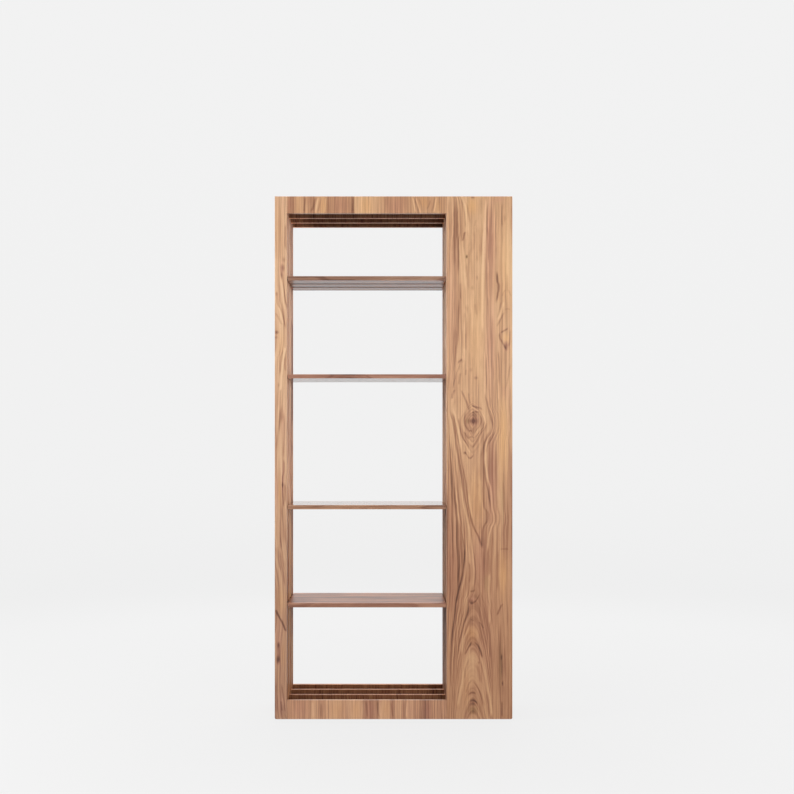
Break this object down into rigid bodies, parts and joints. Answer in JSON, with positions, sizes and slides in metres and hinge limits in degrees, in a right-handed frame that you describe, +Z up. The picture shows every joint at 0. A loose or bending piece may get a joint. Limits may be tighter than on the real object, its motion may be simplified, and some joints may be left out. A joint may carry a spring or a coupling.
{
  "type": "bookcase",
  "caption": "Tall open-backed walnut bookcase: a window through flat frames set one behind the other, a wide panel on the right, and loose shelves on pins at adjustable heights.",
  "frame": {"origin": "on the floor, at the middle of the case's footprint", "axes": "+Z up, +X to the right seen from the front, front faces -Y"},
  "size_m": [0.908, 0.33, 2],
  "materials": {
    "walnut_front": "satin lacquered walnut veneer, grain upright",
    "walnut_rib": "satin lacquered walnut veneer, grain upright",
    "walnut_case": "satin lacquered walnut veneer",
    "walnut_shelf": "satin lacquered walnut veneer, grain from side to side",
    "steel_pin": "turned steel, satin",
    "beech_dowel": "raw fluted beech",
    "nylon_glide": "matte nylon"
  },
  "bodies": {
    "case": {"front_left_stile": "walnut_front", "front_right_panel": "walnut_front", "front_top_rail": "walnut_front", "front_bottom_rail": "walnut_front", "front_frame_dowels": "beech_dowel", "front_rib_left_stile": "walnut_rib", "front_rib_right_panel": "walnut_rib", "front_rib_top_rail": "walnut_rib", "front_rib_bottom_rail": "walnut_rib", "front_rib_frame_dowels": "beech_dowel", "rear_rib_left_stile": "walnut_rib", "rear_rib_right_panel": "walnut_rib", "rear_rib_top_rail": "walnut_rib", "rear_rib_bottom_rail": "walnut_rib", "rear_rib_frame_dowels": "beech_dowel", "back_left_stile": "walnut_front", "back_right_panel": "walnut_front", "back_top_rail": "walnut_front", "back_bottom_rail": "walnut_front", "back_frame_dowels": "beech_dowel", "left_side_board": "walnut_case", "right_side_board": "walnut_case", "top_board": "walnut_case", "bottom_board": "walnut_case", "case_corner_dowels": "beech_dowel", "front_face_dowels": "beech_dowel", "back_face_dowels": "beech_dowel", "glides": "nylon_glide"},
    "shelf_1": {"shelf_1": "walnut_shelf"},
    "shelf_1_left_pins": {"shelf_1_left_pins": "steel_pin"},
    "shelf_1_right_pins": {"shelf_1_right_pins": "steel_pin"},
    "shelf_2": {"shelf_2": "walnut_shelf"},
    "shelf_2_left_pins": {"shelf_2_left_pins": "steel_pin"},
    "shelf_2_right_pins": {"shelf_2_right_pins": "steel_pin"},
    "shelf_3": {"shelf_3": "walnut_shelf"},
    "shelf_3_left_pins": {"shelf_3_left_pins": "steel_pin"},
    "shelf_3_right_pins": {"shelf_3_right_pins": "steel_pin"},
    "shelf_4": {"shelf_4": "walnut_shelf"},
    "shelf_4_left_pins": {"shelf_4_left_pins": "steel_pin"},
    "shelf_4_right_pins": {"shelf_4_right_pins": "steel_pin"}
  },
  "joints": [
    {"name": "shelf_1_lift", "type": "slide", "parent": "case", "child": "shelf_1", "axis": [0, 0, 1], "range_m": [0, 0.225]},
    {"name": "shelf_1_left_pins_pull", "type": "slide", "parent": "case", "child": "shelf_1_left_pins", "axis": [1, 0, 0], "range_m": [0, 0.01]},
    {"name": "shelf_1_right_pins_pull", "type": "slide", "parent": "case", "child": "shelf_1_right_pins", "axis": [-1, 0, 0], "range_m": [0, 0.01]},
    {"name": "shelf_2_lift", "type": "slide", "parent": "case", "child": "shelf_2", "axis": [0, 0, 1], "range_m": [0, 0.35]},
    {"name": "shelf_2_left_pins_pull", "type": "slide", "parent": "case", "child": "shelf_2_left_pins", "axis": [1, 0, 0], "range_m": [0, 0.01]},
    {"name": "shelf_2_right_pins_pull", "type": "slide", "parent": "case", "child": "shelf_2_right_pins", "axis": [-1, 0, 0], "range_m": [0, 0.01]},
    {"name": "shelf_3_lift", "type": "slide", "parent": "case", "child": "shelf_3", "axis": [0, 0, 1], "range_m": [0, 0.475]},
    {"name": "shelf_3_left_pins_pull", "type": "slide", "parent": "case", "child": "shelf_3_left_pins", "axis": [1, 0, 0], "range_m": [0, 0.01]},
    {"name": "shelf_3_right_pins_pull", "type": "slide", "parent": "case", "child": "shelf_3_right_pins", "axis": [-1, 0, 0], "range_m": [0, 0.01]},
    {"name": "shelf_4_lift", "type": "slide", "parent": "case", "child": "shelf_4", "axis": [0, 0, 1], "range_m": [0, 0.35]},
    {"name": "shelf_4_left_pins_pull", "type": "slide", "parent": "case", "child": "shelf_4_left_pins", "axis": [1, 0, 0], "range_m": [0, 0.01]},
    {"name": "shelf_4_right_pins_pull", "type": "slide", "parent": "case", "child": "shelf_4_right_pins", "axis": [-1, 0, 0], "range_m": [0, 0.01]}
  ]
}
